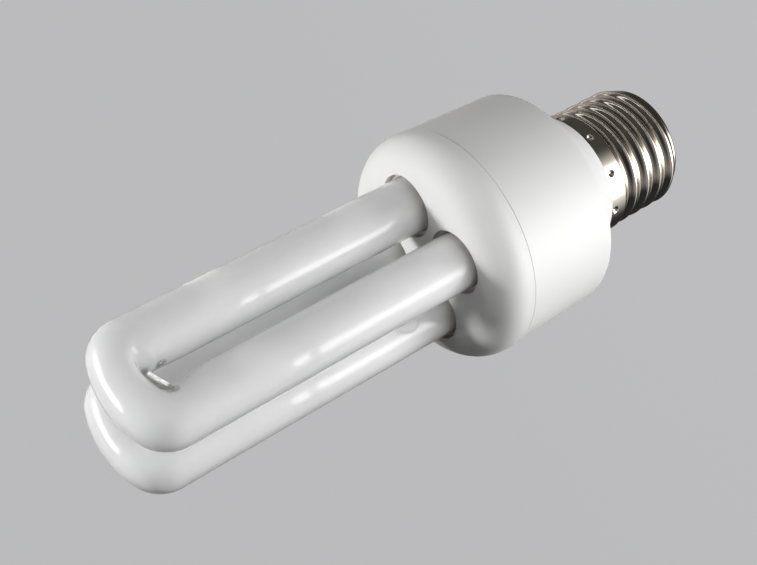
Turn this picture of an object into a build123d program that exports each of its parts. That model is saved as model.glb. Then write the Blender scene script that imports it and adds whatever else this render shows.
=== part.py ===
from build123d import *
import math
import os

# Energy saving lamp: two bent glass tubes, a round plastic housing with the ballast inside
# and a screw cap. Millimetres. The origin is the tip of the centre contact, +Z runs along
# the lamp's axis from the cap to the tubes, and each U-bend lies in a plane along X.

# Screw cap: sheet-metal shell with a rolled round thread, standard 27 mm size
cap_height = 26.0             # contact tip to the open edge of the skirt
skirt_radius = 13.35
skirt_length = 6.3            # plain band above the thread
skirt_shoulder = 0.7          # height of the slope from the skirt to the thread
thread_crest_radius = 13.1
thread_root_radius = 12.15
thread_pitch = 3.629
thread_turns = 4
crest_flat = 0.9
root_flat = 0.9
thread_tail = 0.5             # plain end below the last turn
sheet = 0.4                   # thickness of the shell
end_round = 0.6               # round of the shell's turned-in end
shell_mouth_radius = 8.0      # opening left by the turned-in end
dimple_count = 10             # punch marks that hold the skirt on the neck
dimple_turn = 17.5            # angle of the first one
dimple_radius = 0.75
dimple_depth = 0.3
dimple_drop = 1.9             # below the skirt's edge

# Insulator and centre contact
insulator_lap = 0.8           # width of its seat on the shell's turned-in end
insulator_head = 2.0          # thickness above that seat
insulator_foot_radius = 5.2
contact_radius = 4.8
contact_face_radius = 3.4
contact_sheet = 1.2
contact_stem_radius = 1.2
contact_bore_radius = 0.6
contact_stem_length = 6.2
solder_radius = 2.4
solder_height = 0.6

# Rear housing
housing_radius = 23.35        # at the seam with the front cover
housing_length = 20.8         # seam to the rear rim
housing_draft = 1.8           # degrees that the side narrows towards the cap
housing_wall = 1.6
rim_round = 0.6
ledge_width = 3.0             # flat-lying ring between the rim and the neck
ledge_drop = 1.4              # its inner edge below the rim
ledge_round = 2.5             # hollow round from the ledge into the neck
neck_radius = 14.1            # end of the neck, over the skirt's edge
neck_length = 9.5             # rim to the skirt's edge
neck_wall = 1.7
spigot_length = 14.0          # neck that carries the screw shell
spigot_wall = 1.4
board_rib_count = 4
board_rib_width = 2.0
board_rib_depth = 2.1         # stands in from the wall
board_rib_length = 11.0
board_depth = 7.9             # seam down to the ribs that carry the board

# Front cover
cover_step = 0.1              # how far it stands proud of the housing at the seam
seam_bevel = 0.15             # bevel of both edges at the seam, which shows as a fine groove
cover_height = 8.1
cover_round = 6.2
cover_inner_round = 1.5
cover_face = 2.4              # thickness of the face that the tubes pass through
lip_depth = 4.0
lip_wall = 1.4

# Discharge tube
tube_radius = 5.55
leg_spacing = 14.8            # between the two legs of one U
bend_spacing = 16.2           # between the two U-bends
bend_axis_radius = 2.0        # corner of the tube's axis at the bend
crown_rise = 0.85             # how far the end of the bend bulges between its corners
tube_reach = 70.0             # cover face to the tips of the bends
tube_depth = 9.6              # cover face down to the ends of the legs
tube_hole_gap = 0.95          # gap round each leg in the cover
bridge_radius = 2.7           # short tube that joins one leg of each U
bridge_height = 9.7           # its axis above the cover face
cement_depth = 1.2            # how far it fills the hole, from below

# Ballast
board_thickness = 1.6
choke_width = 13.5            # ferrite core, along Y
choke_height = 12.0
choke_depth = 6.0
choke_yoke = 2.2
choke_leg = 3.6
choke_outer_leg = 2.4
choke_winding = 2.2           # thickness of the winding round the middle leg
choke_x = -9.0
smoothing_radius = 5.0
smoothing_length = 18.0
smoothing_at = (5.5, -5.6)
resonant_size = (11.0, 5.0, 9.0)
resonant_at = (6.5, 8.0)
filter_size = (5.0, 9.0, 8.0)
filter_at = (14.5, 0.0)
transistor_size = (8.0, 3.2, 11.0)
transistor_at = (-6.2, 12.5)
toroid_radius = 3.6
toroid_bore_radius = 1.7
toroid_height = 4.2
toroid_angle = -82.0
toroid_inset = 5.0            # its middle, from the board's edge
ring_inset = 4.5              # circle of the small upright parts, from the board's edge
diode_radius = 1.3
diode_height = 5.0
diode_angles = (-23.0, -34.5, -46.0, -57.5)
resistor_radius = 1.1
resistor_height = 6.0
resistor_angles = (60.0, 74.0, 88.0)
electrode_wire_radius = 0.25
electrode_wire_gap = 3.6      # between the two wires of one electrode
fuse_radius = 1.8
fuse_length = 9.0
fuse_wire_radius = 0.3
fuse_rise = 13.0              # contact tip to the fuse resistor's body
shell_wire_radius = 0.35
shell_wire_angle = 110.0

# Clearances
slip = 0.25                   # between the shell and the neck, and round the winding
lip_gap = 0.3                 # between the cover's lip and the housing
board_gap = 0.5               # between the board and the wall
glue_gap = 0.15               # either side of a ring of cement

# Heights and radii that follow from the sizes above
thread_top = cap_height - skirt_length
shell_end = thread_top - thread_turns * thread_pitch - thread_tail
shell_bore = thread_root_radius - sheet
skirt_bore = skirt_radius - sheet
contact_top = solder_height + contact_sheet
rim_z = cap_height + neck_length
seam_z = rim_z + housing_length
face_z = seam_z + cover_height
face_under_z = face_z - cover_face
board_under_z = seam_z - board_depth
board_top_z = board_under_z + board_thickness
draft_slope = math.tan(math.radians(housing_draft))
leg_end_z = face_z - tube_depth
bend_z = face_z + tube_reach - tube_radius
cover_radius = housing_radius + cover_step
hole_radius = tube_radius + tube_hole_gap
spigot_bore = shell_bore - slip - spigot_wall


def side_radius(z):
    """Outer radius of the rear housing's drafted side at height z."""
    return housing_radius - (seam_z - z) * draft_slope


def turned(points):
    """Solid of revolution about Z from (radius, height) or (radius, height, corner round)."""
    face = make_face(Polyline(*[(p[0], p[1]) for p in points], close=True))
    for p in points:
        if len(p) == 3:
            corner = face.vertices().sort_by_distance((p[0], p[1]))[0]
            face = fillet(corner, p[2])
    return revolve(Plane.XZ * face, Axis.Z)


def upright(radius, low, high, x=0, y=0):
    """Cylinder along Z between two heights."""
    return Pos(x, y, low) * Cylinder(radius, high - low, align=(Align.CENTER, Align.CENTER, Align.MIN))


def hung_box(size, at):
    """Box on the underside of the board, with its middle at a place on the board."""
    return Pos(at[0], at[1], board_under_z) * Box(*size, align=(Align.CENTER, Align.CENTER, Align.MAX))


def on_ring(angle, radius):
    """Place at an angle on a circle round the axis."""
    return radius * math.cos(math.radians(angle)), radius * math.sin(math.radians(angle))


def screw_shell():
    """Skirt, thread rolled in rings at the true pitch, and the end turned in over the insulator."""
    flank = (thread_pitch - crest_flat - root_flat) / 2
    outline = [
        (skirt_radius, cap_height),
        (skirt_radius, thread_top + skirt_shoulder),
        (thread_root_radius, thread_top),
    ]
    for turn in range(thread_turns):
        crest_top = thread_top - turn * thread_pitch - root_flat / 2 - flank
        outline += [
            (thread_root_radius, crest_top + flank),
            (thread_crest_radius, crest_top),
            (thread_crest_radius, crest_top - crest_flat),
            (thread_root_radius, crest_top - crest_flat - flank),
        ]
    outline += [
        (thread_root_radius, shell_end, end_round),
        (shell_mouth_radius, shell_end),
        (shell_mouth_radius, shell_end + sheet),
        (shell_bore, shell_end + sheet),
        (shell_bore, thread_top - sheet / 2),
        (skirt_bore, thread_top + skirt_shoulder),
        (skirt_bore, cap_height),
    ]
    shell = turned(outline)
    # A punch mark is the tip of a ball that sinks in by the dimple's depth.
    ball = cap_ball(dimple_radius, dimple_depth)
    marks = PolarLocations(skirt_radius + ball - dimple_depth, dimple_count, start_angle=dimple_turn)
    return shell - Pos(0, 0, cap_height - dimple_drop) * marks * Sphere(ball)


def insulator():
    """Moulded plug in the shell's mouth, tapering down to the contact."""
    plug_radius = shell_mouth_radius - slip
    return turned([
        (contact_stem_radius + slip, contact_top),
        (insulator_foot_radius, contact_top),
        (plug_radius, shell_end),
        (plug_radius, shell_end + sheet),
        (shell_mouth_radius + insulator_lap, shell_end + sheet),
        (shell_mouth_radius + insulator_lap, shell_end + sheet + insulator_head),
        (contact_stem_radius + slip, shell_end + sheet + insulator_head),
    ])


def centre_contact():
    """Pressed brass eyelet: a dished face under the insulator and a stem through it."""
    stem_top = contact_top + contact_stem_length
    return turned([
        (contact_bore_radius, solder_height),
        (contact_face_radius, solder_height),
        (contact_radius, solder_height + contact_sheet / 2),
        (contact_radius, contact_top),
        (contact_stem_radius, contact_top),
        (contact_stem_radius, stem_top),
        (contact_bore_radius, stem_top),
    ])


def cap_ball(radius, height):
    """Radius of the ball that a dome of that radius and height is cut from."""
    return (radius**2 + height**2) / (2 * height)


def contact_solder():
    """Drop of solder that closes the eyelet."""
    dome = RadiusArc((0, 0), (solder_radius, solder_height), -cap_ball(solder_radius, solder_height))
    edge = Polyline((solder_radius, solder_height), (0, solder_height), (0, 0))
    return revolve(Plane.XZ * make_face(dome + edge), Axis.Z)


def rear_housing():
    """Drafted shell with a ledge and a neck behind it, a spigot for the screw shell and board ribs."""
    rim_radius = side_radius(rim_z)
    ledge_radius = rim_radius - ledge_width
    ledge_z = rim_z - ledge_drop
    ledge_rise = ledge_drop / ledge_width
    neck_rise = (ledge_z - cap_height) / (ledge_radius - neck_radius)
    # The inside of the neck and of the ledge, as height = start + rise * radius.
    inner_neck = cap_height - neck_rise * neck_radius + neck_wall * math.hypot(1, neck_rise)
    inner_ledge = ledge_z - ledge_rise * ledge_radius + neck_wall * math.hypot(1, ledge_rise)
    inner_corner = (inner_neck - inner_ledge) / (ledge_rise - neck_rise)
    inner_rim = rim_radius - housing_wall
    spigot_end = cap_height - spigot_length
    step_z = thread_top + 2 * skirt_shoulder
    shell = turned([
        (housing_radius - seam_bevel, seam_z),
        (side_radius(seam_z - seam_bevel), seam_z - seam_bevel),
        (rim_radius, rim_z, rim_round),
        (ledge_radius, ledge_z, ledge_round),
        (neck_radius, cap_height),
        (skirt_bore - slip, cap_height),
        (skirt_bore - slip, step_z),
        (shell_bore - slip, step_z),
        (shell_bore - slip, spigot_end),
        (spigot_bore, spigot_end),
        (spigot_bore, inner_neck + neck_rise * spigot_bore),
        (inner_corner, inner_neck + neck_rise * inner_corner),
        (inner_rim, inner_ledge + ledge_rise * inner_rim),
        (housing_radius - housing_wall, seam_z),
    ])
    # Each rib starts inside the wall, so that it is one piece with it.
    rib_outer = side_radius(board_under_z) - housing_wall / 2
    rib_inner = side_radius(board_under_z) - housing_wall - board_rib_depth
    rib_align = (Align.CENTER, Align.CENTER, Align.MAX)
    rib = Box(rib_outer - rib_inner, board_rib_width, board_rib_length, align=rib_align)
    rib = Pos((rib_outer + rib_inner) / 2, 0, board_under_z) * rib
    ribs = PolarLocations(0, board_rib_count, start_angle=180 / board_rib_count) * rib
    rib_room = turned([
        (0, rim_z),
        (inner_rim + housing_wall / 4, rim_z),
        (housing_radius - housing_wall * 3 / 4, seam_z),
        (0, seam_z),
    ])
    return shell + [rib & rib_room for rib in ribs]


def leg_places():
    """Centres of the four legs, front U first."""
    return [(x * leg_spacing / 2, y * bend_spacing / 2) for y in (-1, 1) for x in (-1, 1)]


def front_cover():
    """Moulded cap over the housing, with a lip inside it and a hole for each leg."""
    lip_radius = housing_radius - housing_wall - lip_gap
    cover = turned([
        (0, face_z),
        (cover_radius, face_z, cover_round),
        (cover_radius, seam_z + seam_bevel),
        (cover_radius - seam_bevel, seam_z),
        (lip_radius, seam_z),
        (lip_radius - lip_depth * draft_slope, seam_z - lip_depth),
        (lip_radius - lip_wall, seam_z - lip_depth),
        (lip_radius - lip_wall, face_under_z, cover_inner_round),
        (0, face_under_z),
    ])
    for x, y in leg_places():
        cover -= upright(hole_radius, face_under_z, face_z, x, y)
    return cover


def glass_bend():
    """One U: two legs, a crowned end and two corners that are tight on the inside."""
    turn_x = leg_spacing / 2 - bend_axis_radius
    crown_radius = cap_ball(turn_x, crown_rise)
    crown_z = bend_z - crown_radius
    turn_arm = crown_radius - bend_axis_radius
    turn_z = crown_z + math.sqrt(turn_arm**2 - turn_x**2)
    crown_angle = math.degrees(math.asin(turn_x / turn_arm))
    corner_angle = 90 - crown_angle
    crown = revolve(Pos(crown_radius, 0) * Circle(tube_radius), Axis.Y, revolution_arc=-2 * crown_angle)
    bend = Pos(0, 0, crown_z) * Rot(0, -corner_angle, 0) * crown
    # The corner is the outer part of the tube's circle turned about the corner's own axis.
    section = Pos(bend_axis_radius, 0) * Circle(tube_radius)
    reach = tube_radius + bend_axis_radius
    outer_part = section & Pos(reach / 2, 0) * Rectangle(reach, 2 * tube_radius)
    corner = Pos(turn_x, 0, turn_z) * revolve(outer_part, Axis.Y, revolution_arc=-corner_angle)
    for side in (-1, 1):
        bend += upright(tube_radius, leg_end_z, turn_z, side * leg_spacing / 2)
    return bend + corner + mirror(corner, about=Plane.YZ)


def discharge_tube():
    """Sealed glass: two U-bends joined by a short bridge near the cover."""
    bend = glass_bend()
    bridge = Rot(90, 0, 0) * Cylinder(bridge_radius, bend_spacing)
    bridge = Pos(-leg_spacing / 2, 0, face_z + bridge_height) * bridge
    return Pos(0, -bend_spacing / 2) * bend + Pos(0, bend_spacing / 2) * bend + bridge


def tube_cement():
    """Four rings of cement in the cover's holes, one round each leg."""
    high = face_under_z + cement_depth
    rings = []
    for x, y in leg_places():
        ring = upright(hole_radius - glue_gap, face_under_z, high, x, y)
        rings.append(ring - upright(tube_radius + glue_gap, face_under_z, high, x, y))
    return Compound(rings)


def board_radius():
    """Radius of the board, clear of the housing's wall."""
    return side_radius(board_under_z) - housing_wall - board_gap


def circuit_board():
    """Round board on the housing's ribs."""
    return upright(board_radius(), board_under_z, board_top_z)


def choke_core():
    """Ferrite core of two facing E-shapes, with a window each side of the middle leg."""
    core = hung_box((choke_depth, choke_width, choke_height), (choke_x, 0))
    window_width = (choke_width - choke_leg) / 2 - choke_outer_leg
    window = Box(choke_depth, window_width, choke_height - 2 * choke_yoke)
    for side in (-1, 1):
        middle = side * (choke_leg + window_width) / 2
        core -= Pos(choke_x, middle, board_under_z - choke_height / 2) * window
    return core


def choke_coil():
    """Winding round the core's middle leg, resting on the lower yoke."""
    height = choke_height - 2 * choke_yoke - slip
    low = board_under_z - choke_height + choke_yoke
    outer = Box(choke_depth + 2 * (slip + choke_winding), choke_leg + 2 * choke_winding, height)
    inner = Box(choke_depth + 2 * slip, choke_leg + 2 * slip, height)
    outer = fillet(outer.edges().filter_by(Axis.Z), choke_winding / 2)
    return Pos(choke_x, 0, low + height / 2) * (outer - inner)


def smoothing_capacitor():
    """Electrolytic can that reaches down towards the neck."""
    can = upright(smoothing_radius, board_under_z - smoothing_length, board_under_z, *smoothing_at)
    return chamfer(can.edges().sort_by(Axis.Z)[0], smoothing_radius / 10)


def transistors():
    """Two flat moulded transistors, one each side of the choke."""
    x, y = transistor_at
    return Compound([hung_box(transistor_size, (x, side * y)) for side in (-1, 1)])


def drive_toroid():
    """Small ring core of the oscillator."""
    low = board_under_z - toroid_height
    x, y = on_ring(toroid_angle, board_radius() - toroid_inset)
    ring = upright(toroid_radius, low, board_under_z, x, y)
    return ring - upright(toroid_bore_radius, low, board_under_z, x, y)


def upright_group(radius, height, angles):
    """Like small parts, standing on the underside of the board along its edge."""
    places = [on_ring(angle, board_radius() - ring_inset) for angle in angles]
    return Compound([upright(radius, board_under_z - height, board_under_z, x, y) for x, y in places])


def electrode_leads():
    """Two wires from each of the two legs that end in an electrode, down to the board."""
    wires = []
    for x, y in leg_places():
        if x > 0:
            for side in (-1, 1):
                wire_x = x + side * electrode_wire_gap / 2
                wires.append(upright(electrode_wire_radius, board_top_z, leg_end_z, wire_x, y))
    return Compound(wires)


def fuse_resistor():
    """Fuse resistor in the neck, with its leads to the board and to the centre contact."""
    wire = upright(fuse_wire_radius, solder_height, board_under_z)
    return wire + upright(fuse_radius, fuse_rise, fuse_rise + fuse_length)


def shell_lead():
    """Wire from the board down the neck to the shell's turned-in end."""
    x, y = on_ring(shell_wire_angle, spigot_bore - shell_wire_radius - slip)
    return upright(shell_wire_radius, shell_end + sheet, board_under_z, x, y)


nodes = {
    "discharge_tube": discharge_tube(),
    "front_cover": front_cover(),
    "rear_housing": rear_housing(),
    "screw_shell": screw_shell(),
    "insulator": insulator(),
    "centre_contact": centre_contact(),
    "contact_solder": contact_solder(),
    "tube_cement": tube_cement(),
    "circuit_board": circuit_board(),
    "choke_core": choke_core(),
    "choke_coil": choke_coil(),
    "smoothing_capacitor": smoothing_capacitor(),
    "resonant_capacitor": hung_box(resonant_size, resonant_at),
    "filter_capacitor": hung_box(filter_size, filter_at),
    "transistors": transistors(),
    "drive_toroid": drive_toroid(),
    "diodes": upright_group(diode_radius, diode_height, diode_angles),
    "resistors": upright_group(resistor_radius, resistor_height, resistor_angles),
    "electrode_leads": electrode_leads(),
    "fuse_resistor": fuse_resistor(),
    "shell_lead": shell_lead(),
}

os.makedirs("parts", exist_ok=True)
for name, solid in nodes.items():
    export_step(solid, f"parts/{name}.step")
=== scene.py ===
import math

import bmesh
import bpy
from mathutils import Matrix, Vector


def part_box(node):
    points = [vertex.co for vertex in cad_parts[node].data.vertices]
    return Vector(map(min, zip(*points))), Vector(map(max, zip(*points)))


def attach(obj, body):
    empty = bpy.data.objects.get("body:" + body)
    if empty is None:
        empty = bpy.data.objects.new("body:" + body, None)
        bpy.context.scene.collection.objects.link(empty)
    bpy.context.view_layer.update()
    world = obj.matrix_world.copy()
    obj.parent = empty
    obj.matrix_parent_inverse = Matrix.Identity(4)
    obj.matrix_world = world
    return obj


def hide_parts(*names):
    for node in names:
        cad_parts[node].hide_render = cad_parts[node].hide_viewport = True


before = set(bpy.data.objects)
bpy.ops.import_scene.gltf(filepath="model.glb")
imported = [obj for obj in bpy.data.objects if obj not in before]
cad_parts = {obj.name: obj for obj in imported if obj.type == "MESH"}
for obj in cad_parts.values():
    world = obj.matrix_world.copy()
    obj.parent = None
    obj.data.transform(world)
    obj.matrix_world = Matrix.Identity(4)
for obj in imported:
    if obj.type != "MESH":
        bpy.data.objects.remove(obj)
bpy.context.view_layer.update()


# Circuit board: a round of brown paper-based laminate that lies on ribs in the housing and
# carries the ballast. It is punched from sheet and drilled.
class Socket:
    """Output of a shader node that works like a number in sums."""

    def __init__(self, tree, output):
        self.tree = tree
        self.output = output

    def node(self, kind, settings, inputs, output=0):
        """Adds a node: its settings first, then a value or a link for each of its sockets."""
        made = self.tree.nodes.new(kind)
        for name, value in settings.items():
            setattr(made, name, value)
        for name, value in inputs.items():
            if isinstance(value, Socket):
                self.tree.links.new(value.output, made.inputs[name])
            else:
                made.inputs[name].default_value = value
        return Socket(self.tree, made.outputs[output])

    def maths(self, operation, first, second=0.0):
        """One sum of two numbers or sockets."""
        return self.node("ShaderNodeMath", {"operation": operation}, {0: first, 1: second})

    def __add__(self, other):
        return self.maths("ADD", self, other)

    def __radd__(self, other):
        return self.maths("ADD", other, self)

    def __sub__(self, other):
        return self.maths("SUBTRACT", self, other)

    def __rsub__(self, other):
        return self.maths("SUBTRACT", other, self)

    def __mul__(self, other):
        return self.maths("MULTIPLY", self, other)

    def __rmul__(self, other):
        return self.maths("MULTIPLY", other, self)

    def part(self, output):
        """One coordinate of a point."""
        return self.node("ShaderNodeSeparateXYZ", {}, {0: self}, output)

    def noise(self, scale, detail=2.0):
        """Cloudy value about 0.5 at this point; scale is in spots per metre."""
        return self.node("ShaderNodeTexNoise", {}, {"Vector": self, "Scale": scale, "Detail": detail})

    def stretched(self, x, y, z):
        """This point with each axis scaled, for a texture that is drawn out one way."""
        return self.node("ShaderNodeVectorMath", {"operation": "MULTIPLY"}, {0: self, 1: (x, y, z)})

    def step(self, low, high):
        """0 below low, 1 above high, smooth in between."""
        settings = {"interpolation_type": "SMOOTHSTEP"}
        return self.node("ShaderNodeMapRange", settings, {"Value": self, "From Min": low, "From Max": high})

    def between(self, first, second):
        """Colour between two colours, or sockets of colour, with this value as the factor."""
        ends = [c if isinstance(c, Socket) else (*c, 1.0) for c in (first, second)]
        return self.node("ShaderNodeMix", {"data_type": "RGBA"}, {0: self, 6: ends[0], 7: ends[1]}, 2)

    def bump(self, depth):
        """Normal of a surface raised by this value times a depth in metres."""
        return self.node("ShaderNodeBump", {}, {"Height": self, "Distance": depth})


def finish(name, constants, paint):
    """Material: constants go on the shader's own sockets, and paint(point) gives what varies."""
    material = bpy.data.materials.new(name)
    material.use_nodes = True
    tree = material.node_tree
    shader = tree.nodes["Principled BSDF"]
    for socket, value in constants.items():
        shader.inputs[socket].default_value = value
    place = tree.nodes.new("ShaderNodeTexCoord")
    for socket, value in paint(Socket(tree, place.outputs["Object"])).items():
        tree.links.new(value.output, shader.inputs[socket])
    return material


def mottled(dark, light, scale, roughness, depth):
    """Paint for a plain material: two tones in a cloud, uneven gloss and a fine bump."""
    def paint(point):
        cloud = point.noise(scale)
        return {
            "Base Color": cloud.between(dark, light),
            "Roughness": roughness - 0.08 + 0.16 * cloud,
            "Normal": point.noise(3.0 * scale).bump(depth),
        }
    return paint


def dress(nodes, material):
    """Gives CAD nodes a material."""
    for name in nodes:
        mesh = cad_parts[name].data
        mesh.materials.clear()
        mesh.materials.append(material)


laminate = mottled((0.24, 0.15, 0.07), (0.34, 0.22, 0.11), 900, 0.5, 2e-5)
dress(["circuit_board"], finish("board laminate", {}, laminate))

# Wound parts of the ballast: the choke's ferrite core with its coil of enamelled copper wire, and
# the small ring core of the oscillator. The coil is wound round the core's middle leg.
wire_pitch = 0.00045


def wound_with_painted_shade(point):
    """Enamelled wire in close turns, with painted shade between them."""
    turn = point.maths("SINE", point.part(2) * (2 * math.pi / wire_pitch))
    height = 0.5 + 0.5 * turn
    return {
        # The colour darkens where the bump sinks between the turns: painted shade.
        "Base Color": height.between((0.16, 0.05, 0.02), (0.46, 0.17, 0.06)),
        "Roughness": 0.25 + 0.15 * point.noise(700),
        "Normal": height.bump(1e-4),
    }


ferrite = mottled((0.02, 0.02, 0.02), (0.045, 0.043, 0.042), 1500, 0.7, 3e-5)
dress(["choke_core", "drive_toroid"], finish("ferrite", {}, ferrite))
dress(["choke_coil"], finish("copper wire", {"Metallic": 0.6}, wound_with_painted_shade))

# Capacitors: a sleeved aluminium can for smoothing, and two dipped film capacitors. All are
# soldered to the underside of the board.
sleeve = mottled((0.008, 0.01, 0.018), (0.016, 0.019, 0.032), 500, 0.3, 1e-5)
dipped = mottled((0.27, 0.05, 0.02), (0.34, 0.075, 0.03), 700, 0.25, 3e-5)
dress(["smoothing_capacitor"], finish("shrunk sleeve", {}, sleeve))
dress(["resonant_capacitor", "filter_capacitor"], finish("dipped epoxy", {}, dipped))

# Small parts and wires of the ballast: moulded transistors and diodes, lacquered resistors, and
# tinned wires to the tubes and the cap. All are soldered to the board.
moulding = mottled((0.014, 0.014, 0.015), (0.024, 0.024, 0.024), 1800, 0.6, 2e-5)
lacquer = mottled((0.36, 0.26, 0.13), (0.44, 0.33, 0.18), 900, 0.35, 2e-5)
tinned = mottled((0.42, 0.42, 0.41), (0.52, 0.52, 0.51), 1200, 0.35, 1e-5)
dress(["transistors", "diodes"], finish("black moulding", {}, moulding))
dress(["resistors", "fuse_resistor"], finish("resistor lacquer", {}, lacquer))
dress(["electrode_leads", "shell_lead"], finish("tinned wire", {"Metallic": 1.0}, tinned))


# Rear housing and front cover: white heat-proof plastic, moulded with a satin face. The cover
# snaps into the housing, and a hairline seam shows where they meet.
def satin(point):
    """Even white with a faint cloud and a fine grain."""
    cloud = point.noise(90, 3.0)
    grain = point.noise(3500)
    return {
        "Base Color": cloud.between((0.83, 0.83, 0.82), (0.865, 0.865, 0.855)),
        "Roughness": 0.45 + 0.1 * cloud,
        "Normal": grain.bump(4e-6),
    }


dress(["rear_housing", "front_cover"], finish("satin white plastic", {"Specular IOR Level": 0.5}, satin))

# Screw shell: sheet metal, drawn, rolled to a right-hand round thread, turned in at its end and
# nickel plated. The skirt is held on the neck by a ring of punch marks.
pitch = 0.003629
crest_radius = 0.0131
root_radius = 0.01215
skirt_radius = 0.01335
skirt_edge = 0.026
shell_end = 0.004684
mouth_radius = 0.008
sheet = 0.0004
end_round = 0.0006
last_turn_rise = 0.0013       # height over which the thread comes up at the shell's end
face_radii = (0.0108, 0.0099, 0.009, mouth_radius)
inside_radii = (mouth_radius, 0.0095, 0.0112)
first_crest = 0.0191          # height of the top turn's crest at the angle below
first_crest_angle = -23.0
run_out = 67.0                # angle where the groove under the skirt runs out
run_out_width = 60.0
mark_count = 10
mark_angle = 17.5
mark_radius = 0.00095
mark_depth = 0.0005
mark_z = 0.0241
root_tone_depth = 0.0005          # how high the darker tone reaches in the roots of the thread
around = 400
row_count = 170


def ease(value, low, high):
    """0 below low, 1 above high, smooth in between."""
    t = min(max((value - low) / (high - low), 0.0), 1.0)
    return t * t * (3 - 2 * t)


def thread_radius(angle, z):
    """Outer radius of the shell: thread turns below, skirt above, one groove that runs out."""
    turned = (angle - run_out) % 360 - 360 + run_out
    turn = (z - first_crest - pitch * (turned - first_crest_angle) / 360) / pitch
    groove = 1 - ease(turned, run_out - run_out_width, run_out)
    top = skirt_radius + (crest_radius - skirt_radius) * groove
    if turn >= 1:
        return skirt_radius
    if turn > 0:
        depth = (top + skirt_radius) / 2 - root_radius
        level = top + (skirt_radius - top) * ease(turn, 0, 1)
        return level - groove * depth * (0.5 - 0.5 * math.cos(2 * math.pi * turn))
    crest = top if turn > -0.5 else crest_radius
    thread_start = shell_end + end_round
    rise = (crest - root_radius) * ease(z, thread_start, thread_start + last_turn_rise)
    return root_radius + rise * (0.5 + 0.5 * math.cos(2 * math.pi * turn))


def mark_sink(angle, z):
    """How deep the skirt is punched in at this place."""
    off = (angle - mark_angle + 180 / mark_count) % (360 / mark_count) - 180 / mark_count
    away = math.hypot(math.radians(off) * skirt_radius, z - mark_z) / mark_radius
    return mark_depth * (1 - ease(away, 0.1, 0.95))


# The profile runs down the outside, round the end to the mouth, and back up the inside.
thread_height = skirt_edge - shell_end - end_round
thread_rows = [skirt_edge - thread_height * i / row_count for i in range(row_count + 1)]
shell_rows = []
for z in thread_rows[1:]:
    shell_rows.append(("outer", z))
for i in range(1, 7):
    shell_rows.append(("end", math.radians(15 * i)))
for radius in face_radii:
    shell_rows.append(("face", radius))
for radius in inside_radii:
    shell_rows.append(("inside", radius))
for z in thread_rows[::-4]:
    if z > shell_end + end_round + sheet:
        shell_rows.append(("inner", z))


def shell_point(row, angle):
    """Point of the shell where a row of the profile meets an angle."""
    kind, value = row
    if kind == "outer":
        radius, z = thread_radius(angle, value) - mark_sink(angle, value), value
    elif kind == "inner":
        radius, z = thread_radius(angle, value) - mark_sink(angle, value) - sheet, value
    elif kind == "end":
        radius = root_radius - end_round * (1 - math.cos(value))
        z = shell_end + end_round * (1 - math.sin(value))
    elif kind == "face":
        radius, z = value, shell_end
    else:
        radius, z = value, shell_end + sheet
    return radius * math.cos(math.radians(angle)), radius * math.sin(math.radians(angle)), z


def closed_grid(name, columns, capped=False):
    """Smooth mesh from equal loops of points; the loops join up in a ring, or are capped."""
    count, size = len(columns), len(columns[0])
    points = [p for column in columns for p in column]
    faces = []
    for i in range(count - 1 if capped else count):
        for j in range(size):
            a, b = i * size, (i + 1) % count * size
            k = (j + 1) % size
            faces.append((a + j, b + j, b + k, a + k))
    if capped:
        faces.append(tuple(range(size)))
        faces.append(tuple(range((count - 1) * size, count * size))[::-1])
    mesh = bpy.data.meshes.new(name)
    mesh.from_pydata(points, [], faces)
    skin = bmesh.new()
    skin.from_mesh(mesh)
    bmesh.ops.recalc_face_normals(skin, faces=skin.faces)
    skin.to_mesh(mesh)
    skin.free()
    mesh.shade_smooth()
    made = bpy.data.objects.new(name, mesh)
    bpy.context.scene.collection.objects.link(made)
    return made


shell = closed_grid(
    "threaded_shell",
    [[shell_point(row, 360 * i / around) for row in shell_rows] for i in range(around)],
)


def nickel(point):
    """Bright plate with fine drawn lines round the shell, darker and browner in the roots of the thread."""
    x, y = point.part(0), point.part(1)
    radius = point.maths("SQRT", x * x + y * y)
    # The base colour turns darker and browner in the roots of the thread.
    root_tone = 1 - radius.step(root_radius, root_radius + root_tone_depth)
    cloud = point.noise(260, 4.0)
    angle = point.maths("ARCTAN2", y, x)
    unrolled = point.node("ShaderNodeCombineXYZ", {}, {0: angle * 0.001, 1: point.part(2), 2: radius})
    drawn = unrolled.noise(2600, 3.0)
    clean = cloud.between((0.62, 0.59, 0.54), (0.74, 0.71, 0.66))
    return {
        "Base Color": (root_tone * 0.6).between(clean, (0.36, 0.31, 0.25)),
        "Roughness": 0.05 + 0.05 * cloud + 0.05 * root_tone,
        "Normal": drawn.bump(0.9e-5),
    }


shell.data.materials.append(finish("nickel plate", {"Metallic": 1.0}, nickel))
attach(shell, "root")
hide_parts("screw_shell")

# Insulator and centre contact: a black glassy plug in the shell's mouth, a pressed brass eyelet
# through it, and a drop of solder that closes the eyelet on its wire.
plug = mottled((0.010, 0.010, 0.012), (0.02, 0.02, 0.022), 600, 0.2, 2e-5)
eyelet = mottled((0.50, 0.36, 0.14), (0.62, 0.46, 0.21), 800, 0.32, 1e-5)
drop = mottled((0.40, 0.40, 0.40), (0.58, 0.58, 0.57), 1100, 0.4, 5e-5)
dress(["insulator"], finish("black glassy plug", {}, plug))
dress(["centre_contact"], finish("brass eyelet", {"Metallic": 1.0}, eyelet))
dress(["contact_solder"], finish("solder", {"Metallic": 1.0}, drop))

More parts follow.
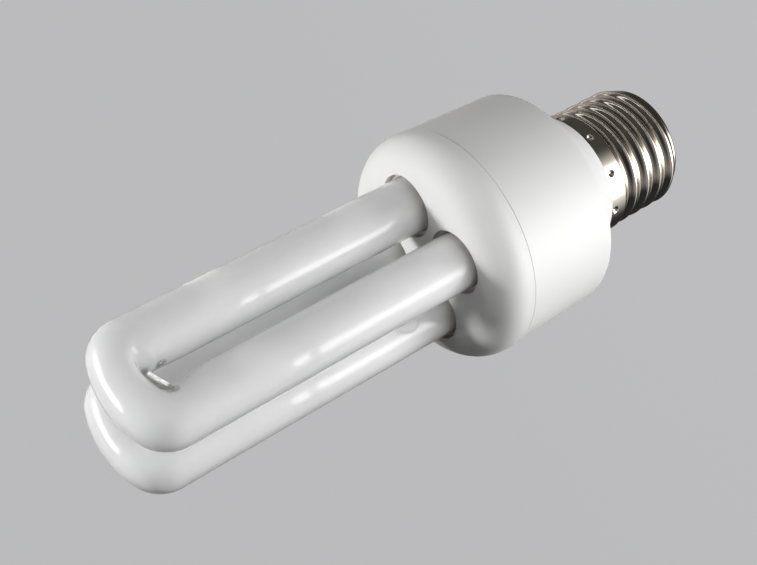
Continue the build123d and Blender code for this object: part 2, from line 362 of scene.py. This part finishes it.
# Discharge tube: two U-bends of clear glass, coated white inside, fused by a short bridge. Each
# bend is blown into a mould: square outside, and pinched inside to a fold with an out-turned lip.
tube_radius = 0.00555
leg_x = 0.0074
bend_y = 0.0081
leg_end = 0.0548
tip_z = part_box("discharge_tube")[1].z
slot_half = leg_x - tube_radius
slot_rise = 0.0012            # height of the slot's squarish end
slot_square = 0.7             # 1 is round, and less is squarer
fold_depth = 0.0104           # from the tips to the lip of the fold
fan_z = tip_z - fold_depth - slot_rise    # the sections of the bend fan out from here
fold_slant = 0.45
fold_shift = -0.0005          # the fold lies a little to one side
fold_begins, fold_full = 0.3, 0.92        # where the bend is folded, by the rise of its section
lip_near, lip_far = 0.001, 0.004          # depths between which the lip's shift and slant die out
slot_flare = 0.0007           # how far each side of the slot opens out at its end
flare_length = 0.006
axis_radius = 0.002           # of the square corners, at the middle of the tube
corner_radius = axis_radius + tube_radius
corner_x = 0.0054
crown_rise = 0.00085
wall_leaves = (0.0026, 0.0017)            # depth and half width that steer the wall off the lip
wall_joins = (0.0030, tube_radius)        # and onto the widest part
bridge_radius = 0.0027
bridge_z = 0.0741
bridge_flare = 0.0008         # how far the glass widens where the bridge is fused on
bridge_flare_length = 0.0016
bridge_ends = bend_y - tube_radius * 0.75
bridge_steps = 24
bridge_around = 40
fan_steps = 64
leg_steps = 36
wall_steps = 14
lip_angle = 24.0

crown_axis = (corner_x**2 + crown_rise**2) / (2 * crown_rise)
crown_z = tip_z - tube_radius - crown_axis
crown_radius = crown_axis + tube_radius
corner_z = crown_z + math.sqrt((crown_axis - axis_radius) ** 2 - corner_x**2)


def reach(angle):
    """Distance from the fan's middle to the outside of the bend; 0 is sideways, 90 degrees is up."""
    dx, dz = math.cos(angle), math.sin(angle)
    along = dx * corner_x + dz * (corner_z - fan_z)
    across = dx * (corner_z - fan_z) - dz * corner_x
    corner = along + math.sqrt(max(corner_radius**2 - across**2, 0.0))
    at_x, at_z = dx * corner, fan_z + dz * corner
    if at_z < corner_z:
        return (slot_half + 2 * tube_radius) / dx
    if math.atan2(at_x, at_z - crown_z) < math.atan2(corner_x, corner_z - crown_z):
        along = dz * (crown_z - fan_z)
        return along + math.sqrt(crown_radius**2 - (dx * (crown_z - fan_z)) ** 2)
    return corner


def bend_sections():
    """Inner and outer point of each section in the plane of the bend, and how far it is folded."""
    found = []
    for i in range(leg_steps):
        z = leg_end + (fan_z - leg_end) * i / leg_steps
        flare = slot_flare * ease(z, fan_z - flare_length, fan_z)
        found.append(((slot_half + flare, z), (slot_half + 2 * tube_radius, z), 0.0))
    for i in range(2 * fan_steps + 1):
        angle = math.pi * i / (2 * fan_steps)
        dx, dz = math.cos(angle), math.sin(angle)
        far = reach(min(angle, math.pi - angle))
        half = slot_half + slot_flare
        inner = (math.copysign(half * abs(dx) ** slot_square, dx), fan_z + slot_rise * dz**slot_square)
        found.append((inner, (dx * far, fan_z + dz * far), ease(dz, fold_begins, fold_full)))
    return found + [((-i[0], i[1]), (-o[0], o[1]), f) for i, o, f in found[leg_steps - 1::-1]]


# Half a section from the inside to the outside: the angle on the round tube, and the depth and
# half width where the fold is sharpest. The first points go round the lip and into its crease.
lip = [
    (0.0, 0.0), (0.00004, 0.0003), (0.00014, 0.0006), (0.00028, 0.0009),
    (0.0004, 0.00108), (0.0005, 0.00113), (0.0006, 0.00108), (0.00076, 0.00086),
    (0.00092, 0.00063), (0.00108, 0.0004), (0.00122, 0.00034), (0.0014, 0.00046),
]
half_section = [(math.radians(lip_angle * i / (len(lip) - 1)), *place) for i, place in enumerate(lip)]
for i in range(1, wall_steps + 1):
    t = i / wall_steps
    starts, ends, leaves, joins = (1 - t) ** 3, t**3, 3 * t * (1 - t) ** 2, 3 * t**2 * (1 - t)
    depth = starts * lip[-1][0] + leaves * wall_leaves[0] + joins * wall_joins[0] + ends * fold_depth / 2
    width = starts * lip[-1][1] + leaves * wall_leaves[1] + joins * wall_joins[1] + ends * tube_radius
    half_section.append((math.radians(lip_angle + (90 - lip_angle) * t), depth, width))
for i in range(1, wall_steps + 1):
    turn = math.pi / 2 * i / wall_steps
    half_section.append((
        math.pi / 2 + turn, fold_depth / 2 * (1 + math.sin(turn)), tube_radius * math.cos(turn),
    ))


def bend_loops(y):
    """Loops of points along one U-bend, from foot to foot."""
    loops = []
    for inner, outer, fold in bend_sections():
        span = math.dist(inner, outer)
        way = ((outer[0] - inner[0]) / span, (outer[1] - inner[1]) / span)
        front = []
        for angle, depth, width in half_section:
            depth += (span - fold_depth) * (depth / fold_depth) ** 2
            deep = (1 - fold) * span * (0.5 - 0.5 * math.cos(angle)) + fold * depth
            wide = (1 - fold) * tube_radius * math.sin(angle) + fold * width
            near = 1 - ease(deep, lip_near, lip_far)
            x = inner[0] + way[0] * deep + fold_shift * near * ease(inner[1], fan_z - flare_length, fan_z)
            slant = fold_slant * x * fold * near
            front.append((x, wide, inner[1] + way[1] * deep + slant))
        loop = [(x, y - w, z) for x, w, z in front] + [(x, y + w, z) for x, w, z in front[-2:0:-1]]
        loops.append(loop)
    return loops


def bridge_loops():
    """Loops of points along the bridge, from inside one leg to inside the other."""
    loops = []
    for i in range(bridge_steps + 1):
        y = -bridge_ends + 2 * bridge_ends * i / bridge_steps
        near = bend_y - abs(y) - math.sqrt(tube_radius**2 - bridge_radius**2)
        radius = bridge_radius + bridge_flare * (1 - ease(near, 0.0, bridge_flare_length))
        loop = []
        for j in range(bridge_around):
            turn = 2 * math.pi * j / bridge_around
            loop.append((-leg_x + radius * math.cos(turn), y, bridge_z + radius * math.sin(turn)))
        loops.append(loop)
    return loops


tube = closed_grid("glass_tubes", bend_loops(-bend_y), capped=True)
for other in (
    closed_grid("rear_bend", bend_loops(bend_y), capped=True),
    closed_grid("glass_bridge", bridge_loops(), capped=True),
):
    union = tube.modifiers.new("fuse", "BOOLEAN")
    union.operation = "UNION"
    union.solver = "EXACT"
    union.object = other
    bpy.context.view_layer.objects.active = tube
    bpy.ops.object.modifier_apply(modifier=union.name)
    bpy.data.objects.remove(other)
tube.data.shade_smooth()

# The lip has a fire-polished face that looks outwards. Its normals are flattened, not its mesh.
lip_face = Vector((-0.270, -0.918, 0.289))
lip_middle = -0.0004          # x of the middle of the lip
lip_ends = (0.0018, 0.0028)   # the face dies out between these distances from the middle
lip_inner, lip_outer = (0.0002, 0.0005), (0.0012, 0.0015)     # and between these out from the bend
lip_bottom, lip_top = (0.0, 0.0002), (0.0010, 0.0014)         # and between these heights
normals = [Vector(vertex.normal) for vertex in tube.data.vertices]
for vertex, normal in zip(tube.data.vertices, normals):
    x, y, z = vertex.co
    out = math.copysign(bend_y, y) - y
    above = z - (tip_z - fold_depth) - fold_slant * x
    flat = ease(out, *lip_inner) * (1 - ease(out, *lip_outer))
    flat *= 1 - ease(abs(x - lip_middle), *lip_ends)
    flat *= ease(above, *lip_bottom) * (1 - ease(above, *lip_top))
    normal[:] = normal.lerp(lip_face, flat).normalized()
tube.data.normals_split_custom_set_from_vertices(normals)


def distance(x, y, z, middle):
    """How far a place is from a middle."""
    gap = x.node("ShaderNodeCombineXYZ", {}, {0: x - middle[0], 1: y - middle[1], 2: z - middle[2]})
    return gap.node("ShaderNodeVectorMath", {"operation": "LENGTH"}, {0: gap}, 1)


foot_clear, foot_coated = 0.0640, 0.0680      # heights between which the powder thins to clear glass at the feet, with painted shade near the cover
tip_starts, tip_full = 0.120, 0.129           # and greys towards the tips, partly as painted shade

# Patches where the glass is crinkled by the pinch: middle, with y counted from the bend, and radius.
crinkled_patches = (
    ((0.0007, 0.0027, 0.1258), 0.0021),
    ((-0.0032, 0.0034, 0.1254), 0.0014),
    ((-0.0047, 0.0048, 0.1247), 0.0017),
    ((0.0019, 0.0002, 0.1222), 0.0014),
)


def coated(point):
    """White powder behind glass: thin at the feet with painted shade there, greyer at the tips partly as
    painted shade, rubbed off round the fold, and a painted highlight on the lip.
    """
    x, y, z = point.part(0), point.part(1), point.part(2)
    cloud = point.noise(120, 3.0)
    powder = cloud.between((0.87, 0.87, 0.875), (0.90, 0.90, 0.905))
    # Greyer towards the tips, partly for a thinner coat and partly as painted shade; the lower corner's side
    # is left white, which paints light into its shade.
    tip = z.step(tip_starts, tip_full) * x.step(-0.008, 0.004)
    powder = tip.between(powder, (0.76, 0.76, 0.77))
    # Brown towards the feet: the clear glass of the foot, and painted shade near the cover.
    foot = 1 - z.step(foot_clear, foot_coated)
    powder = (foot * 0.42).between(powder, (0.42, 0.38, 0.32))
    beside = point.maths("ABSOLUTE", point.maths("ABSOLUTE", y) - bend_y)
    above = z - (tip_z - fold_depth) - fold_slant * x
    away = distance(x * 0.45, beside * 0.8, above, (0.0, 0.0, 0.0008))
    bare = (1 - away.step(0.0008, 0.0018)) * (0.35 + 0.9 * point.noise(900))
    ripple = 0.0008 * (point.noise(700) - 0.5)
    crinkle = point.noise(1300, 3.0).step(0.34, 0.50)
    for middle, size in crinkled_patches:
        near = 1 - distance(x, beside, z, middle).step(0.4 * size, size)
        bare = point.maths("MAXIMUM", bare, 0.8 * near * crinkle)
    side = beside + ripple + 0.12 * x
    face = (1 - side.step(0.0008, 0.0011)) * beside.step(0.0001, 0.0005)
    face = face * (above + ripple).step(0.0002, 0.0006) * (1 - above.step(0.0009, 0.0013))
    # The lip's face is painted near white: a painted highlight for the shine of its clear glass.
    painted_lip_highlight = face * (1 - point.maths("ABSOLUTE", x - lip_middle).step(0.0013, 0.0027))
    colour = bare.between(powder, (0.30, 0.30, 0.28))
    return {
        "Base Color": painted_lip_highlight.between(colour, (0.97, 0.97, 0.96)),
        "Roughness": 0.45 + 0.1 * cloud,
        "Normal": point.stretched(1.0, 1.0, 0.2).noise(160).bump(1e-5),
    }


glass_shine = {
    "Coat Weight": 1.0,
    "Coat Roughness": 0.03,
    "Coat IOR": 1.5,
    "Specular IOR Level": 0.1,
    "Subsurface Weight": 1.0,
    "Subsurface Radius": (1.0, 1.0, 1.0),
    "Subsurface Scale": 0.009,
}
tube.data.materials.append(finish("coated glass", glass_shine, coated))
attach(tube, "root")
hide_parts("discharge_tube")

# Cement: four rings of pale baked cement that fill the cover's holes round the legs. It is
# poured in from below and left rough.
cement = mottled((0.80, 0.77, 0.71), (0.88, 0.85, 0.80), 1400, 0.9, 3e-5)
dress(["tube_cement"], finish("baked cement", {}, cement))

# Camera: where the photo was taken from, turned about its own axis so that the lamp lies aslant.
camera_place = (-0.08643, -0.20328, 0.19236)
azimuth, elevation, roll = (math.radians(a) for a in (-22.966, 28.002, -118.398))
back = Vector((
    math.sin(azimuth) * math.cos(elevation),
    -math.cos(azimuth) * math.cos(elevation),
    math.sin(elevation),
))
level = (-back).cross(Vector((0, 0, 1))).normalized()
upright = level.cross(-back)
right = math.cos(roll) * level + math.sin(roll) * upright
up = -math.sin(roll) * level + math.cos(roll) * upright

camera = bpy.data.objects.new("camera", bpy.data.cameras.new("camera"))
camera.data.sensor_width = 36.0
camera.data.lens = 62.951
camera.data.clip_start = 0.01
camera.data.clip_end = 50.0
turned = Matrix((right, up, back)).transposed().to_4x4()
camera.matrix_world = Matrix.Translation(camera_place) @ turned
bpy.context.scene.collection.objects.link(camera)
bpy.context.scene.camera = camera


# Lamps: soft boxes that no mirror shows. One stands at each side of the picture, with weak fills
# in front, at the tips and behind.
def facing(at, aim):
    """Place whose -Z axis looks at a point, with its X axis level."""
    way = (Vector(at) - Vector(aim)).normalized()
    side = Vector((0, 0, 1)).cross(way).normalized()
    return Matrix.Translation(at) @ Matrix((side, way.cross(side), way)).transposed().to_4x4()


def softbox(name, at, aim, size, brightness):
    """Rectangle of even light; brightness is that of its face, where 1 is white."""
    data = bpy.data.lights.new(name, "AREA")
    data.shape = "RECTANGLE"
    data.size, data.size_y = size
    data.energy = brightness * math.pi * size[0] * size[1]
    lamp = bpy.data.objects.new(name, data)
    lamp.matrix_world = facing(at, aim)
    lamp.visible_camera = False
    lamp.visible_glossy = False
    bpy.context.scene.collection.objects.link(lamp)


softbox("right light", (-0.25, -0.212, -0.10), (0, 0, -0.05), (0.32, 0.40), 2.5)
softbox("right light foot", (-0.293, -0.127, -0.245), (0, 0, -0.1), (0.30, 0.15), 6.8)
softbox("left light", (0.248, -0.030, 0.498), (0, 0, 0.065), (0.08, 0.14), 55.0)
softbox("left fill", (0.293, -0.246, 0.386), (0, 0, 0.065), (0.2, 0.2), 3.5)
softbox("tip fill", (-0.0515, -0.032, 0.169), (-0.0107, -0.010, 0.1306), (0.04, 0.04), 0.75)
softbox("back fill", (0.25, 0.65, 0.10), (0, 0, 0.067), (0.5, 0.5), 0.35)

# Tent and card that only mirrors show: the tent gives the nickel and the glass a dim room with both
# side lights to reflect, and the small card gives the fold's lip its shine.
tent_radius = 0.335
light_turn = math.radians(156.6)          # brings the right light onto the X axis
pale_bands = ((0.115, 1.0), (0.05, 0.6), (-0.02, 0.9), (-0.09, 0.6))      # height and strength
card_half = 0.0035
card_place = (-0.0184, -0.1231, 0.1572)
card_aim = (-0.0004, -0.0090, 0.1248)


def tent_tones(point):
    """Dark grey with thin pale bands in front, a glow round the right light, and both side lights."""
    x, y, z = point.part(0), point.part(1), point.part(2)
    settings = {"rotation_type": "Z_AXIS"}
    to_light = point.node("ShaderNodeVectorRotate", settings, {"Vector": point, "Angle": light_turn})
    turn = point.maths("ARCTAN2", to_light.part(1), to_light.part(0))
    off = point.maths("ABSOLUTE", turn)
    front = (0.8 * x - 0.6 * y).step(-0.05, 0.15)
    back_left = (0.72 * x + 0.69 * y).step(0.16, 0.26)
    above_light = (1 - off.step(0.45, 0.85)) * z.step(-0.06, -0.02) * (1 - z.step(0.1, 0.2))
    low = 1 - z.step(-0.31, -0.20)
    tone = front.between((0.03, 0.03, 0.03), (0.07, 0.064, 0.058))
    tone = back_left.between(tone, (0.36, 0.34, 0.32))
    tone = above_light.between(tone, (0.38, 0.36, 0.34))
    tone = low.between(tone, (0.05, 0.047, 0.043))
    for height, weight in pale_bands:
        apart = point.maths("ABSOLUTE", z - height)
        tone = (front * (1 - apart.step(0.005, 0.012)) * weight).between(tone, (1.3, 1.25, 1.2))
    glow = (1 - turn.step(0.35, 1.25)) * turn.step(-1.6, -0.35)
    glow = glow * (1 - z.step(-0.06, -0.03)) * z.step(-0.31, -0.20)
    tone = (glow * glow).between(tone, (1.3, 1.25, 1.2))
    half = 0.17 + 0.19 * (1 - z.step(-0.17, -0.09))
    inside = (half - off).step(-0.35, 0.1)
    tip = z.step(-0.0395, -0.0385) * (1 - z.step(-0.0315, -0.0305))
    tall = (1 - z.step(-0.0460, -0.0420)) * z.step(-0.33, -0.20) + tip
    tone = (inside * inside * tall).between(tone, (6.0, 6.0, 6.0))
    strip = 1 - point.maths("ABSOLUTE", y + 0.005).step(0.032, 0.044)
    strip = strip * x.step(0.02, 0.045) * (1 - x.step(0.13, 0.25)) * z.step(0.1, 0.2)
    return {"Emission Color": strip.between(tone, (7.0, 7.0, 7.0))}


tent_mesh = bpy.data.meshes.new("tent")
ball = bmesh.new()
bmesh.ops.create_uvsphere(ball, u_segments=48, v_segments=32, radius=tent_radius)
ball.to_mesh(tent_mesh)
ball.free()
tent_mesh.shade_smooth()
unlit = {"Base Color": (0, 0, 0, 1), "Specular IOR Level": 0.0, "Emission Strength": 1.0}
tent_mesh.materials.append(finish("tent", unlit, tent_tones))
tent = bpy.data.objects.new("tent", tent_mesh)


def square(name, half, z):
    """Flat square mesh at a height."""
    mesh = bpy.data.meshes.new(name)
    corners = [(-half, -half, z), (half, -half, z), (half, half, z), (-half, half, z)]
    mesh.from_pydata(corners, [], [(0, 1, 2, 3)])
    return mesh


card_mesh = square("lip card", card_half, 0.0)
lit = {**unlit, "Emission Color": (1, 1, 1, 1), "Emission Strength": 14.0}
card_mesh.materials.append(finish("lip card", lit, lambda point: {}))
card = bpy.data.objects.new("lip card", card_mesh)
card.matrix_world = facing(card_place, card_aim)
for mirrored in (tent, card):
    for rays in ("camera", "diffuse", "transmission", "shadow", "volume_scatter"):
        setattr(mirrored, "visible_" + rays, False)
    bpy.context.scene.collection.objects.link(mirrored)

# Floor and world: a plain pale floor below the lamp and a pale background. Both look pale by a glow
# that lights nothing, and the floor keeps a soft shadow.
floor_half = 9.0
floor_z = -0.35
floor_mesh = square("floor", floor_half, floor_z)
floor = bpy.data.objects.new("floor", floor_mesh)
bpy.context.scene.collection.objects.link(floor)


def seen_by(tree):
    """1 for rays from the camera, or that are mirrored or pass through glass."""
    path = tree.nodes.new("ShaderNodeLightPath")
    camera_ray, glossy, through = (
        Socket(tree, path.outputs[name]) for name in ("Is Camera Ray", "Is Glossy Ray", "Is Transmission Ray")
    )
    return camera_ray.maths("MAXIMUM", camera_ray, camera_ray.maths("MAXIMUM", glossy, through))


pale = bpy.data.materials.new("pale floor")
pale.use_nodes = True
tree = pale.node_tree
tree.nodes.clear()
seen = seen_by(tree)
matt = seen.node("ShaderNodeBsdfDiffuse", {}, {"Color": (0.3, 0.3, 0.3, 1.0)})
glow = seen.node("ShaderNodeEmission", {}, {"Color": (0.58, 0.58, 0.59, 1.0), "Strength": 1.0})
mixed = seen.node("ShaderNodeMixShader", {}, {0: seen * 0.85, 1: matt, 2: glow})
out = tree.nodes.new("ShaderNodeOutputMaterial")
tree.links.new(mixed.output, out.inputs["Surface"])
floor_mesh.materials.append(pale)

world = bpy.data.worlds.new("world")
world.use_nodes = True
tree = world.node_tree
seen = seen_by(tree)
tree.links.new((0.02 + 0.56 * seen).output, tree.nodes["Background"].inputs["Strength"])
tree.nodes["Background"].inputs["Color"].default_value = (1.0, 1.0, 1.0, 1.0)
bpy.context.scene.world = world
bpy.context.scene.view_settings.view_transform = "Standard"
